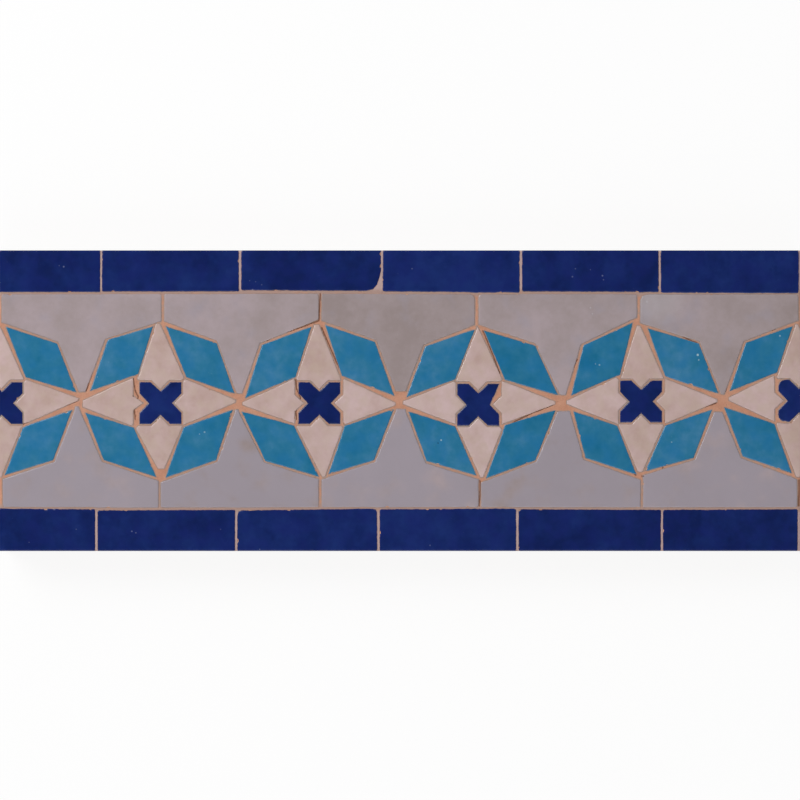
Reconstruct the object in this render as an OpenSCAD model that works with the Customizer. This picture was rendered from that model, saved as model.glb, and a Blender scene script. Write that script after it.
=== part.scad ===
// Mosaic border panel of hand-chiselled glazed clay tiles, set face down and backed with mortar.
// A row of eight-pointed stars runs between two rows of bars. The panel lies flat, its glazed
// faces up. The origin is the middle of its back, +X runs along the row and +Z to the faces.

/* [Pattern] */
// Number of star repeats along the panel, with half a star at each end
repeats = 5; // [2:1:5]
// Distance from one star to the next
pitch = 60.7; // [54:0.1:68]
// Width across the notched cross at the middle of each star
cross_w = 16; // [13:0.1:18]
// Depth of the pointed notch in each side of the cross
notch_d = 3.5; // [2:0.1:4]
// Space from the lozenge tips to the middle line between two stars
tip_gap = 2.6; // [2.2:0.1:4]
// Space between the tips of two lozenges, at the point of a white tile
point_gap = 5.9; // [5:0.1:8]

/* [Joints] */
// Joint between star tiles, on average
joint_w = 1.3; // [1:0.05:1.8]
// Joint between the field tiles and the border bars
row_joint = 1.0; // [0.6:0.05:2]
// Joint between the ends of two border bars, on average
bar_joint = 1.2; // [0.6:0.05:2]
// Depth of the grout below the glazed faces
grout_recess = 0.5; // [0.2:0.05:1.5]

/* [Border] */
// Height of the field tiles above the top of a star
field_rim = 10.05; // [6:0.05:20]
// Width of a border bar
bar_w = 15.75; // [10:0.05:30]
// Length of a border bar, made a little longer or shorter so that whole bars fit the row
bar_l = 52; // [40:0.1:80]
// Length of the cut bar at the left end of the upper row
upper_cut_l = 38.2; // [16:0.1:50]
// Length of the cut bar at the left end of the lower row
lower_cut_l = 36.4; // [16:0.1:50]
// Grout left beyond the middle of the half star at each end
end_margin = 0.65; // [0.3:0.05:1.5]

/* [Thickness] */
// Thickness of a tile, clay and glaze together
tile_t = 11; // [8:0.5:16]
// Thickness of the mortar behind the tiles
back_t = 9; // [5:0.5:20]

/* [Hidden] */
// A cutter runs this far past the face that it cuts
overrun = 1;
// How much a joint widens towards the sharp tips, and narrows towards the blunt corners
taper_share = 0.3;
// Half the joint between two white tiles along the diagonal of a cross, as a share of joint_w
diagonal_joint_share = 0.28;
// Half the width of the cross's notch, as a share of the notch's depth
notch_half_share = 1.05;

inner = cross_w / 2 + joint_w;
reach = pitch / 2 - tip_gap;
outer = reach + point_gap / 2 - inner;
notch_half = notch_d * notch_half_share;

// Lozenge corners in the order tip, outer, side, inner. The tip is above or below the cross and
// the side is towards the next star.
lozenge_corners = [[point_gap / 2, reach], [outer, outer], [reach, point_gap / 2], [inner, inner]];

panel_l = repeats * pitch + 2 * end_margin;
field_half = pitch / 2 + field_rim;
panel_w = 2 * (field_half + row_joint + bar_w);
panel_t = back_t + tile_t;
left_end = -panel_l / 2;

// The tiles are cut and set by eye, so no two are alike. The tables below give how far each strays
// from the drawn pattern, in steps of this share of the distance between stars.
step_share = 0.005;
step = step_share * pitch;

// Corners of the four lozenges of each bay, in steps outwards from the middle of their star:
// upper right and lower right of the star on the left, then lower left and upper left of the
// star on the right
lozenge_step_shares = [
    [[[-2, 0], [0, 1], [2, 2], [1, -1]], [[-4, 1], [-5, 4], [-3, 3], [-3, 3]],
     [[-3, 3], [0, 4], [1, 7], [3, 3]], [[0, 1], [-5, 6], [-5, 4], [-3, 3]]],
    [[[-1, 0], [0, 1], [1, 0], [2, -1]], [[-2, 4], [-1, 4], [-2, 3], [-2, 3]],
     [[-7, 3], [-2, 5], [6, 5], [2, 1]], [[2, 0], [2, -1], [1, -5], [0, -1]]],
    [[[-2, 2], [-2, 3], [0, -2], [-3, 1]], [[1, 0], [-3, 4], [0, 2], [0, 1]],
     [[-4, 1], [-4, 5], [-3, 5], [0, 2]], [[-3, -3], [-2, -3], [-1, -4], [0, -4]]],
    [[[-3, -5], [-1, -2], [6, -2], [1, -4]], [[-1, 5], [-1, 4], [3, 3], [1, 0]],
     [[-5, 0], [-3, 1], [-10, 5], [-3, 1]], [[0, 5], [-1, -1], [-7, -2], [-6, 2]]],
    [[[2, -2], [4, 1], [7, 0], [2, 0]], [[-2, -4], [-3, 1], [-2, 3], [1, 1]],
     [[1, -2], [0, -1], [1, 0], [0, -1]], [[-1, 1], [-4, 2], [-6, 4], [-3, 5]]],
];

// Joints round each lozenge, as shares of joint_w: beside the white tile at its tip, the white
// tile at its side, and the field tile from the outer corner to its side and to its tip
lozenge_joint_shares = [
    [[1.35, 1.2, 0.8, 0.9], [0.45, 1.5, 0.7, 0.9], [0.7, 0.5, 1.2, 0.9], [0.4, 0.9, 1.3, 0.7]],
    [[1.2, 1.1, 0.5, 1.3], [0.45, 1.2, 0.8, 0.8], [0.8, 1.2, 0.7, 0.7], [0.4, 0.4, 1.3, 1.2]],
    [[1.3, 1.2, 0.95, 1], [0.5, 0.6, 0.7, 0.8], [0.7, 1.2, 0.7, 1], [0.4, 0.6, 0.95, 1.2]],
    [[1.2, 1.2, 0.5, 1.2], [0.6, 0.95, 0.6, 0.7], [0.6, 0.9, 1.1, 1.1], [0.95, 0.5, 1.5, 0.9]],
    [[1.2, 1.1, 0.55, 0.9], [0.5, 1, 0.95, 1], [0.7, 1.4, 1.1, 1.1], [0.6, 0.9, 1.2, 1]],
];

// Middles of the crosses, in steps
cross_step_shares = [[1, -3], [0, -3], [-1, -3], [-2, -5], [2, -1], [0, 0]];

// Joints between each cross and its white tiles, clockwise from the top, as shares of joint_w
cross_joint_shares = [
    [0.8, 0.4, 0.5, 1.2], [0.6, 0.5, 0.5, 2], [0.6, 1, 0.6, 1.2],
    [0.7, 0.9, 0.4, 0.4], [0.6, 1, 0.5, 0.5], [0.5, 1, 0.5, 1.2],
];

// Cross and side of it where one shoulder of the notch is chiselled away, and by how much of the
// notch's depth
worn_cross = 3;
worn_side = 1;
worn_share = 0.5;

// Cross whose arms are rounded, the radius as a share of the notch's depth, and the steps of the arc
round_cross = 5;
round_share = 0.75;
round_steps = 4;

// Where the point of each white tile ends, short of the middle line between two stars, clockwise
// from the top, as shares of tip_gap
white_point_shares = [
    [0.6, 0.35, 0.6, 1.5], [0.45, 0.8, 1.85, 0.45], [0.7, 0.8, 0.6, 0.45],
    [0.8, 0.8, 0.6, 0.6], [0.8, 0.45, 1.4, 1.15], [0.6, 0.35, 0.6, 1.5],
];

// How blunt each white point is, clockwise from the top, as shares of the width that the joints
// leave it. The smaller the share, the sharper the point.
white_blunt_shares = [
    [0.5, 0.2, 0.5, 1], [0.7, 0.2, 0.4, 0.4], [0.6, 0.2, 0.7, 0.2],
    [1, 0.2, 0.4, 0.4], [0.3, 0.2, 0.8, 0.3], [0.5, 1, 0.5, 0.2],
];

// Where the point of each field tile ends, from the middle of the panel, as shares of tip_gap
upper_point_shares = [1.4, 1.15, 1.5, 0.95, 1.05];
lower_point_shares = [0.95, 1.4, 1.3, 1.65, 1.75];

// Upright joints between field tiles: place in steps, then width as a share of joint_w
upper_upright_step_shares = [0, 3, 0, -4, -1];
upper_upright_joint_shares = [0.9, 1.3, 1.3, 1.5, 1.35];
lower_upright_step_shares = [0, -1, 0, 0, 3];
lower_upright_joint_shares = [1.6, 0.8, 1.2, 1, 0.9];

// Joints between bars: place in steps, then width as a share of bar_joint
upper_bar_step_shares = [0, -1, 2, 1, 0, 0];
upper_bar_joint_shares = [0.75, 1.1, 0.85, 1, 0.9, 0.9];
lower_bar_step_shares = [0, -1, 1, -1, 4, -1];
lower_bar_joint_shares = [1.1, 1, 1.15, 1.15, 0.95, 1];

// Inner edge of each bar at its left and right end, towards the outside, as shares of row_joint
upper_edge_shares = [[0, 0], [0.3, 0.3], [0.9, 0.6], [0.3, -0.3], [0.3, 0], [-0.3, -0.6]];
lower_edge_shares = [[-0.3, 0], [0.6, 0.3], [0.6, -0.3], [0, -0.3], [0, 0.3], [0.3, 0]];

// Corners knocked off along the joint between bars and field tiles, left and right, in steps
upper_bar_knock_shares = [[0, 1], [1, 1], [1, 1], [1, 1], [2, 1], [1, 1]];
lower_bar_knock_shares = [[0, 1], [1, 1], [5, 5], [1, 2], [2, 1], [2, 1]];
upper_field_knock_shares = [[1, 2], [1, 1], [1, 5], [3, 1], [8, 1]];
lower_field_knock_shares = [[1, 1], [1, 1], [1, 2], [1, 1], [1, 2]];
knock_outline_shares = [[1, 0], [0.3, 0.3], [0, 1]];

// Bar of the upper row that has lost its right corner, the length and height of what is gone, and
// its outline
chipped_bar = 2;
chip_l = 5.6;
chip_h = 7.6;
chip_outline_shares = [[0, 1], [0.3, 0.3], [0.55, 0.08], [1, 0]];

function wrapped(list, i) = list[((i % len(list)) + len(list)) % len(list)];
function across(a, b) = a[0] * b[1] - a[1] * b[0];
function meet(p, q, r, s) = p + (q - p) * across(r - p, s - r) / across(q - p, s - r);
function normal(p, q) = [p[1] - q[1], q[0] - p[0]] / norm(q - p);
function turned(p, quarter) = quarter == 0 ? p : turned([p[1], -p[0]], quarter - 1);

function star_middle(star) = [(star - repeats / 2) * pitch, 0];
function cross_middle(star) = star_middle(star) + wrapped(cross_step_shares, star) * step;

// Quadrants of a star run clockwise from the upper right
function quadrant_bay(star, quadrant) = quadrant < 2 ? star : star - 1;
function quadrant_signs(quadrant) = [quadrant < 2 ? 1 : -1, quadrant == 0 || quadrant == 3 ? 1 : -1];

function lozenge_outline(star, quadrant) =
    let (strays = wrapped(lozenge_step_shares, quadrant_bay(star, quadrant))[quadrant] * step)
    let (signs = quadrant_signs(quadrant))
    [for (c = [0:3])
        let (p = lozenge_corners[c] + strays[c])
        star_middle(star) + [signs[0] * p[0], signs[1] * p[1]]];

// Edge of the neighbour of a lozenge: a line along the side from a blunt corner to a sharp tip,
// one joint away from it
function joint_line(corners, blunt, tip, share) =
    let (n = normal(corners[blunt], corners[tip]))
    let (middle = (corners[0] + corners[2]) / 2)
    let (out = n * (middle - corners[blunt]) > 0 ? -n : n)
    [corners[blunt] + out * share * joint_w * (1 - taper_share),
     corners[tip] + out * share * joint_w * (1 + taper_share)];

function beside(star, quadrant, blunt, tip, place) =
    joint_line(lozenge_outline(star, quadrant), blunt, tip,
        wrapped(lozenge_joint_shares, quadrant_bay(star, quadrant))[quadrant][place]);

// Two edges that run to a point, cut short by a line across them if they pass it. The two corners
// on that line keep a share of their distance.
function point_end(first, second, cut, outwards, blunt_share = 1) =
    let (tip = meet(first[0], first[1], second[0], second[1]))
    let (a = meet(first[0], first[1], cut[0], cut[1]), b = meet(second[0], second[1], cut[0], cut[1]))
    (tip - cut[0]) * outwards < 0 ? [tip] :
        [for (corner = [a, b]) (a + b) / 2 + (corner - (a + b) / 2) * blunt_share];

// A corner knocked off by a number of steps, from the edge that runs along to the edge down
function knocked(corner, along, down, steps) =
    steps == 0 ? [corner] :
        [for (s = knock_outline_shares) corner + (along * s[0] + down * s[1]) * steps * step];

function wear(star, side) = star == worn_cross && side == worn_side ? worn_share * notch_d : 0;

// The corner of a cross at its upper left, from the side to the top
function arm_corner(star) =
    let (r = star == round_cross ? round_share * notch_d : 0)
    let (middle = [r - cross_w / 2, cross_w / 2 - r])
    r == 0 ? [middle] :
        [for (turn = [0:90 / round_steps:90]) middle + r * [-cos(turn), sin(turn)]];

function cross_outline(star) = [for (side = [0:3])
    for (p = concat(arm_corner(star), [[-notch_half, cross_w / 2 - wear(star, side)],
                                       [0, cross_w / 2 - notch_d], [notch_half, cross_w / 2]]))
        cross_middle(star) + turned(p, side)];

// White tile of a star, from the cross out to its point. Sides run clockwise from the top. Beside
// the corners of the cross, a joint along the diagonal parts it from its neighbours.
function white_outline(star, side) =
    let (outwards = turned([0, 1], side), clockwise = turned([1, 0], side))
    let (tip = side % 2 == 0 ? 0 : 2, place = side % 2)
    let (right = beside(star, side, 3, tip, place))
    let (left = beside(star, (side + 3) % 4, 3, tip, place))
    let (gap = joint_w * wrapped(cross_joint_shares, star)[side])
    let (base = cross_middle(star) + outwards * (cross_w / 2 + gap))
    let (base_line = [base, base + clockwise])
    let (tongue_half = notch_half - gap * (sqrt(1 + pow(notch_half_share, 2)) - 1) / notch_half_share)
    let (corner = cross_middle(star) + outwards * joint_w * 2 * diagonal_joint_share / sqrt(2))
    let (point_reach = pitch / 2 - wrapped(white_point_shares, star)[side] * tip_gap)
    let (cut = star_middle(star) + outwards * point_reach)
    let (blunt_share = wrapped(white_blunt_shares, star)[side])
    concat(
        point_end(right, base_line, [corner, corner + outwards + clockwise], clockwise - outwards),
        [base + clockwise * tongue_half, base - outwards * notch_d, base - clockwise * tongue_half],
        point_end(base_line, left, [corner, corner + outwards - clockwise], -clockwise - outwards),
        point_end(left, right, [cut, cut + clockwise], outwards, blunt_share));

// Edge of an upright joint between field tiles, on its left or right
function upright_x(star, level, side) =
    let (steps = level > 0 ? upper_upright_step_shares : lower_upright_step_shares)
    let (shares = level > 0 ? upper_upright_joint_shares : lower_upright_joint_shares)
    star_middle(star)[0] + wrapped(steps, star) * step + side * wrapped(shares, star) * joint_w / 2;

// Field tile of a bay: straight along the bars, with a point down between two stars
function field_outline(bay, level) =
    let (first = level > 0 ? 0 : 1, second = level > 0 ? 3 : 2)
    let (left_tip = beside(bay, first, 1, 0, 3), left_side = beside(bay, first, 1, 2, 2))
    let (right_tip = beside(bay + 1, second, 1, 0, 3), right_side = beside(bay + 1, second, 1, 2, 2))
    let (x_left = upright_x(bay, level, 1), x_right = upright_x(bay + 1, level, -1))
    let (points = level > 0 ? upper_point_shares : lower_point_shares)
    let (knocks = wrapped(level > 0 ? upper_field_knock_shares : lower_field_knock_shares, bay))
    let (up = [0, 1], down = [0, -level], cut = [0, level * wrapped(points, bay) * tip_gap])
    concat(
        knocked([x_left, level * field_half], [1, 0], down, knocks[0]),
        [meet(left_tip[0], left_tip[1], [x_left, 0], [x_left, 0] + up),
         meet(left_tip[0], left_tip[1], left_side[0], left_side[1])],
        point_end(left_side, right_side, [cut, cut + [1, 0]], down),
        [meet(right_tip[0], right_tip[1], right_side[0], right_side[1]),
         meet(right_tip[0], right_tip[1], [x_right, 0], [x_right, 0] + up)],
        knocked([x_right, level * field_half], down, [-1, 0], knocks[1]));

// A row is one cut bar and as many whole bars as come nearest to bar_l, each with a joint to its
// right. The first bar is cut by the end of the panel.
function cut_l(level) = level > 0 ? upper_cut_l : lower_cut_l;
function row_l(level) = panel_l - cut_l(level) - bar_joint;
function whole_bars(level) = max(1, round(row_l(level) / (bar_l + bar_joint)));
function last_bar(level) = whole_bars(level);

function bar_joint_x(index, level, side) =
    let (steps = level > 0 ? upper_bar_step_shares : lower_bar_step_shares)
    let (shares = level > 0 ? upper_bar_joint_shares : lower_bar_joint_shares)
    index < 0 ? left_end - overrun :
        left_end + cut_l(level) + bar_joint / 2 + index * row_l(level) / whole_bars(level)
            + wrapped(steps, index) * step + side * wrapped(shares, index) * bar_joint / 2;

function bar_outline(index, level, beyond) =
    let (x_left = bar_joint_x(index - 1, level, 1), x_right = bar_joint_x(index, level, -1))
    let (edges = wrapped(level > 0 ? upper_edge_shares : lower_edge_shares, index) * row_joint)
    let (knocks = wrapped(level > 0 ? upper_bar_knock_shares : lower_bar_knock_shares, index))
    let (y_inner = panel_w / 2 - bar_w, y_outer = level * (panel_w / 2 + beyond))
    let (left = [x_left, level * (y_inner + edges[0])], right = [x_right, level * (y_inner + edges[1])])
    concat(
        [[x_right, y_outer]],
        level > 0 && index == chipped_bar
            ? [for (s = chip_outline_shares) right + [-s[0] * chip_l, s[1] * chip_h]]
            : knocked(right, [0, level], [-1, 0], knocks[1]),
        knocked(left, [1, 0], [0, level], knocks[0]),
        [[x_left, y_outer]]);

module inside_panel() {
    intersection() {
        children();
        translate([left_end, -panel_w / 2, 0]) cube([panel_l, panel_w, panel_t]);
    }
}

module tile(outline, above = 0) {
    translate([0, 0, back_t]) linear_extrude(tile_t + above) polygon(outline);
}

module bar(index, level) {
    color("midnightblue") inside_panel() tile(bar_outline(index, level, 0));
}

module field_tile(bay, level) {
    color("lightslategray") tile(field_outline(bay, level));
}

module lozenge_tile(star, quadrant) {
    color("steelblue") tile(lozenge_outline(star, quadrant));
}

module cross_tile(star) {
    color("midnightblue") inside_panel() tile(cross_outline(star));
}

module star_points(star) {
    color("mistyrose") for (side = sides(star)) {
        if (star == 0 || star == repeats) {
            inside_panel() tile(white_outline(star, side));
        } else {
            tile(white_outline(star, side));
        }
    }
}

// Room in the mortar for every tile, open at the faces and at the panel's ends
module pockets() {
    for (level = [1, -1]) {
        for (index = [0:last_bar(level)]) tile(bar_outline(index, level, overrun), overrun);
        for (bay = [0:repeats - 1]) tile(field_outline(bay, level), overrun);
    }
    for (star = [0:repeats]) {
        tile(cross_outline(star), overrun);
        for (side = sides(star)) tile(white_outline(star, side), overrun);
        for (quadrant = quadrants(star)) tile(lozenge_outline(star, quadrant), overrun);
    }
}

module mortar_bed() {
    color("burlywood") difference() {
        translate([left_end, -panel_w / 2, 0]) cube([panel_l, panel_w, panel_t - grout_recess]);
        pockets();
    }
}

// The half stars at the ends have only the tiles that lie inside the panel
function sides(star) = [for (s = [0:3]) if (!(star == 0 && s == 3) && !(star == repeats && s == 1)) s];
function quadrants(star) = [for (q = [0:3]) if (!(star == 0 && q > 1) && !(star == repeats && q < 2)) q];

levels = [[1, "upper"], [-1, "lower"]];
quadrant_names = ["upper_right", "lower_right", "lower_left", "upper_left"];

function bar_name(level_name, index) = str(level_name, "_bar_", index + 1);
function field_name(level_name, bay) = str(level_name, "_field_tile_", bay + 1);
function cross_name(star) = str("cross_", star + 1);
function points_name(star) = str("star_points_", star + 1);
function lozenge_name(star, quadrant) = str("lozenge_", star + 1, "_", quadrant_names[quadrant]);

mortar_bed();

for (l = levels) {
    for (index = [0:last_bar(l[0])])
        bar(index, l[0]);
    for (bay = [0:repeats - 1])
        field_tile(bay, l[0]);
}

for (star = [0:repeats]) {
    cross_tile(star);
    star_points(star);
    for (quadrant = quadrants(star))
        lozenge_tile(star, quadrant);
}
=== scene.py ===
"""The finish of a Moroccan mosaic border panel: its chiselled, glazed tiles and the mortar around them.

Each tile of the frame gets a worked edge with small chips and a glazed face, and spreads a little
into the frame's joints. The mortar gets rough joints that follow those edges, cracks, and a rough
back. Everything stays inside the panel's box. Lengths are in millimetres until a mesh is written.
"""
import math
import random
from typing import NamedTuple

import bmesh
import bpy
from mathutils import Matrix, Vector, kdtree, noise
from mathutils.geometry import delaunay_2d_cdt


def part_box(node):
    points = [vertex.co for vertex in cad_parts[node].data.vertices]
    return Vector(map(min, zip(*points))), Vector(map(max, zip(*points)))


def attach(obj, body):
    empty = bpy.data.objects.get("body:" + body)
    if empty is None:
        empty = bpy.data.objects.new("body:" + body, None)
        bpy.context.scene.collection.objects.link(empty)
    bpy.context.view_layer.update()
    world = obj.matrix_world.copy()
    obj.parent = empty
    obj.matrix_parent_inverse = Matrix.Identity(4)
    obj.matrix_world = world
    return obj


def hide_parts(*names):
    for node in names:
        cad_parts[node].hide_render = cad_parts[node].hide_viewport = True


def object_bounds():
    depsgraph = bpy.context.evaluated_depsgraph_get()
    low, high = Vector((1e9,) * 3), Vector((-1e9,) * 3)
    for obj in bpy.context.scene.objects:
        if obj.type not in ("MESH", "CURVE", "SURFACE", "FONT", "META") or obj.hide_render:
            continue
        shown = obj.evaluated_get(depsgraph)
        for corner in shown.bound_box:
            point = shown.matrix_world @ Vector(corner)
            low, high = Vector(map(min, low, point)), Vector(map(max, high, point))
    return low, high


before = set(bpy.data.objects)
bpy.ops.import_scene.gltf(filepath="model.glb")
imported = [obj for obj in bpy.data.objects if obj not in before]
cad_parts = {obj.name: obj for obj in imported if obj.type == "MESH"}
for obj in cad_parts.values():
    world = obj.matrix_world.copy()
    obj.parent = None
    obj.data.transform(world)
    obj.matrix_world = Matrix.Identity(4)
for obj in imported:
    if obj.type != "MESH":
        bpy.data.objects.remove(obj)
CAD_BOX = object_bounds()

MM = 0.001
SAME = 0.002                    # points closer than this are one point
SAME_EXACT = SAME / 20          # and closer than this where outlines are filled with triangles
HOLLOW_GAIN = 0.6               # how strongly the noise of hollows swings about its middle
NOISE_LAYERS = 100              # noise layers that a tile's waves are drawn from

# The panel, from the frame
DIGITS = 3                      # the frame's lengths are kept to a thousandth of a millimetre
HALF_LENGTH, HALF_WIDTH, FACE_Z = (round(side / MM, DIGITS) for side in CAD_BOX[1])
POCKET_Z = round(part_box("cross_3")[0][2] / MM, DIGITS)
JOINT_Z = round(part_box("mortar_bed")[1][2] / MM, DIGITS)
BAR_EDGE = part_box("upper_bar_1")[0][1] / MM

# The photograph: its width spans the panel's length, and this pixel is the panel's middle
PHOTO_WIDTH = 800
PHOTO_MIDDLE = (400, 400.7)
PIXEL = 2 * HALF_LENGTH / PHOTO_WIDTH

# Tile edges
OUTLINE_STEP = 0.34             # spacing of the points along a tile's edge
PROUD = 0.35                    # share of the waves' depth that stands out of the frame's outline
SHARPEST = 2.2                  # a corner moves out at most this much further than its sides
CROWDED = 0.3                   # points closer than this share of the spacing become one
JOINT_LEAST = 0.21              # width of a joint at the faces, to which is added
JOINT_SHARE = 0.5               # this share of its width in the frame
MOST_TRIM = 0.66                # but it is never narrower than in the frame by more than this
BORDER_TRIM = 0.18              # round the bars it is narrower by this besides
BORDER_FADE = 1.5               # width over which that, and the bars' paler mortar, fade in
JOINT_CLEAR = 0.12              # the narrowest that the chisel's waves leave
SNUG_RANGE = (0.42, 0.75)       # distance to the next tile, from glaze over the edge to bare clay
SNUG_COVER = 0.2                # how much further the glaze reaches there
EDGE_FADE = 0.9                 # the edge work fades out this close to the panel's own edge
WAVE_LONG = 5.0                 # length of the slow waves that the chisel leaves
WAVE_SHORT = 1.3                # and of the short ones
ARRIS_DROP = 0.22               # how far the glaze rolls down at the edge
ARRIS_REACH = 0.4               # and over what width
EDGE_ROWS = (0.12, 0.28, 0.55)  # rows of points behind the edge
EDGE_HOLD = 0.9                 # share of its inset that a row's point keeps from every edge
ROWS_DENSE = 2                  # as many of those rows have a point for every point of the edge
FACE_STEP = 1.7                 # spacing of the points inside a face
FACE_MARGIN = 0.85              # they keep this far from the edge
SCATTER = 0.3                   # share of the spacing by which such points stray
SCATTER_SIZE = 0.37             # size of that noise, as a share of the spacing
GLAZE_LINE = 0.35               # clay starts this far below the edge
WALL_RINGS = (0.25, 0.5, 0.75)  # shares of the wall's height with points on outer walls
WALL_ROUGH = 0.22               # hollows in an outer wall
WALL_SIZE = 1.9
FACE_SWAY = 0.07                # slow hollows in a face
SWAY_SIZE = 11.0
FACE_TILT = 0.12                # how far a face leans
LEANS = (0.2, 1)                # each takes a share of it in this range
CHIP_RADIUS = (0.3, 0.9)
CHIP_SHRINK = (0.5, 1)          # each chip takes a share of its radius in this range
CHIP_DEPTH = (0.06, 0.32)
CHIP_CLEAR = 1.2                # chips keep this far from the panel's own edge
CHIP_BARE = 4.0                 # how much a chip's depth bares the clay

# Mortar
JOINT_ROWS = (0.3, 0.62, 0.95, 1.3)   # rows of points beside the tiles, in the joints
JOINT_STEP = 0.36               # usual distance between such points
JOINT_CROWDED = 0.8             # and the least share of it that is left between two
JOINT_SCATTER = 0.12            # share of the distance to the tile by which such points stray
JOINT_LIFT = 0.16               # the joint's surface lies this much above the frame's
JOINT_ROLL = 0.1                # slow waves of that surface
JOINT_ROLL_SIZE = 3.2
JOINT_GRAIN = 0.06              # and its sandy grain
JOINT_GRAIN_SIZE = 0.7
CLING = 0.12                    # mortar climbs the tiles by this
CLING_REACH = 0.25
CRACK_HALF = 0.22               # half the width of a crack
CRACK_DEPTH = 0.3
RIM_STEP = 0.45                 # spacing of the points across a joint's mouth
RIM_LEAST = 5 * SAME            # tile points on the panel's edge that are closer become one
MOUTH_HOLLOW = 0.4              # joints are hollow at the panel's sides
MOUTH_REACH = 0.8
MOUTH_LEVELS = (0.35, 0.7)      # shares of the joint's height with points there
SIDE_LEVELS = (0.22, 0.6)       # shares of the bed's height with points on its sides
SIDE_ROUGH = 0.3
SIDE_SIZE = 5.0
FOOT_CRUMBLE = 0.7              # wear of the bottom edge
CORNER_WEAR = 0.3               # wear of the four upright edges
CORNER_REACH = 2.0              # the sides' hollows fade out this close to them
BACK_STEP = 2.4                 # spacing of the points on the back
BACK_ROUGH = 0.45
BACK_SIZE = 14.0
TROWEL_SLANT = 0.35             # slope of the trowel's marks
TROWEL_SHARE = 0.4              # their share of the roughness
TROWEL_SIZE = BACK_SIZE / 4
BACK_FLAT = 0.5                 # the back is flat where the roughness is below this
DULL_BAND = (2.5, 1.2)          # distances from the bars over which the joints turn duller
DEEP_BAND = (1.5, 2.0)          # below the joints' surface and below the tiles, where mortar turns grey
SHARP_ANGLE = math.radians(48)

# Cracks in the joints, as lines through pixels of the photograph
CRACKS = [
    [(320.5, 294), (320, 306), (319, 321), (300, 328), (282, 334), (266, 341)],
    [(322, 328), (331, 349), (341, 371)],
    [(483, 331), (492, 353), (500, 374)],
    [(24, 424), (50, 412), (78, 401)],
    [(188, 420), (210, 410), (233, 403)],
    [(512, 423), (532, 413), (553, 405)],
    [(664, 421), (690, 411), (716, 403)],
    [(87, 391), (92, 376), (96, 362)],
    [(563, 394), (570, 376), (577, 359)],
    [(725, 391), (729, 372)],
    [(134, 379), (136, 391), (139, 397), (135, 407), (136, 420)],
    [(296, 380), (297, 389), (301, 398), (296, 409), (297, 420)],
    [(480, 481), (480, 494), (479, 506)],
    [(168, 476), (179, 471)],
    [(798, 480), (798, 494), (797.5, 506)],
    [(683, 337), (691, 341), (697, 343)],
    [(95, 417), (104, 419), (111, 423), (118, 424)],
    [(634, 473.5), (635.5, 475.5)],
    [(641.5, 476), (644, 476.8)],
    [(655, 471.6), (656.2, 471)],
    [(658, 471.6), (659.2, 471)],
    [(662, 467.8), (662.8, 466.6)],
    [(746, 339), (748.5, 338)],
    [(761, 333.6), (763, 332.8)],
    [(771.5, 330.4), (774, 329.6)],
]

# Specks, pits and scratches in the glaze, and painted highlights: pixel, radius in pixels, and
# strength, below 0 for dark
MARKS_AND_HIGHLIGHTS = [
    (64.5, 267, 1.2, 0.9), (60, 266, 0.8, 0.5), (77, 529, 0.8, 0.6), (30, 542, 0.8, 0.5),
    (132.5, 531, 1.0, 0.9), (136.5, 532.5, 0.9, 0.8), (96, 529, 0.8, 0.6), (221, 529, 0.8, 0.4),
    (250, 281, 0.8, 0.4), (256, 282, 0.8, 0.5), (262, 285, 0.9, 0.5), (260, 549, 1.0, 0.7),
    (412, 269, 1.0, 0.6), (430, 545, 1.0, 0.6), (572, 277, 1.1, 0.7), (575, 269, 0.9, 0.6),
    (590, 270, 0.8, 0.5), (602, 276, 1.2, 0.8), (603, 280, 0.9, 0.6), (590, 308, 1.0, 0.6),
    (592, 314, 0.9, 0.5), (599, 365, 1.1, 0.9), (595, 364, 0.8, 0.6), (697, 355, 1.5, 1.4),
    (698, 360, 1.0, 0.8), (441, 440, 1.2, 1.0), (671, 442, 1.0, 0.6), (205, 432, 1.2, 0.7),
    (200, 434, 0.9, 0.5), (779, 336, 1.2, 0.8), (634, 475, 0.9, -0.9), (643, 476, 0.9, -0.9),
    (438, 443, 0.9, -1.0), (98, 377, 0.9, 0.4), (55, 509, 1.3, 0.9), (253, 290, 1.1, 0.9),
    # painted highlights: a glint on the rounded upper left corner of upper field tile 5, and a pale
    # sheen over that part of it
    (646.4, 302, 1.5, 0.7), (655, 298, 32, 0.3),
]
MARK_DEPTH = 0.06               # depth of a speck at full strength; the painted highlights sink the face by it too
MARK_RING = 7                   # points around a speck, a pit or a painted highlight
MARK_RINGS = (0.5, 1.0)         # shares of its radius with such points


class Kind(NamedTuple):
    """How a kind of tile was worked."""
    slow: float                 # depth of the slow chisel waves
    short: float                # and of the short ones
    chips: float                # chips along 100 mm of edge
    grows: float                # share of its half of the joint that its edge closes
    slot: str                   # the record's slot of its glaze


KINDS = {
    "bar": Kind(0.14, 0.17, 2.0, 1.0, "navy_glaze"),
    "cross": Kind(0.05, 0.06, 0.8, 0.0, "navy_glaze"),
    "field": Kind(0.12, 0.1, 1.2, 1.0, "grey_glaze"),
    "lozenge": Kind(0.1, 0.1, 1.6, 1.0, "blue_glaze"),
    "star": Kind(0.08, 0.07, 1.2, 1.0, "white_glaze"),
}

# Field tiles of the two rows, the lower ones cooler: their share of the glaze's tint, and the others'
ROW_TINGES = {"upper_field": 0.1, "lower_field": 0.9}
USUAL_TINGE = 0.5


def spot(px, py):
    """The place on the panel of a pixel of the photograph."""
    return Vector(((px - PHOTO_MIDDLE[0]) * PIXEL, (PHOTO_MIDDLE[1] - py) * PIXEL))


def kind_of(name):
    """How the tiles of a node were worked."""
    return next(kind for word, kind in KINDS.items() if word in name)


def wave(p, size, layer):
    """Smooth noise from -1 to 1 at a place, with bumps of the given size.

    Each layer is a pattern of its own.
    """
    return noise.noise(Vector((p[0] / size, p[1] / size, layer)))


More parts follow.
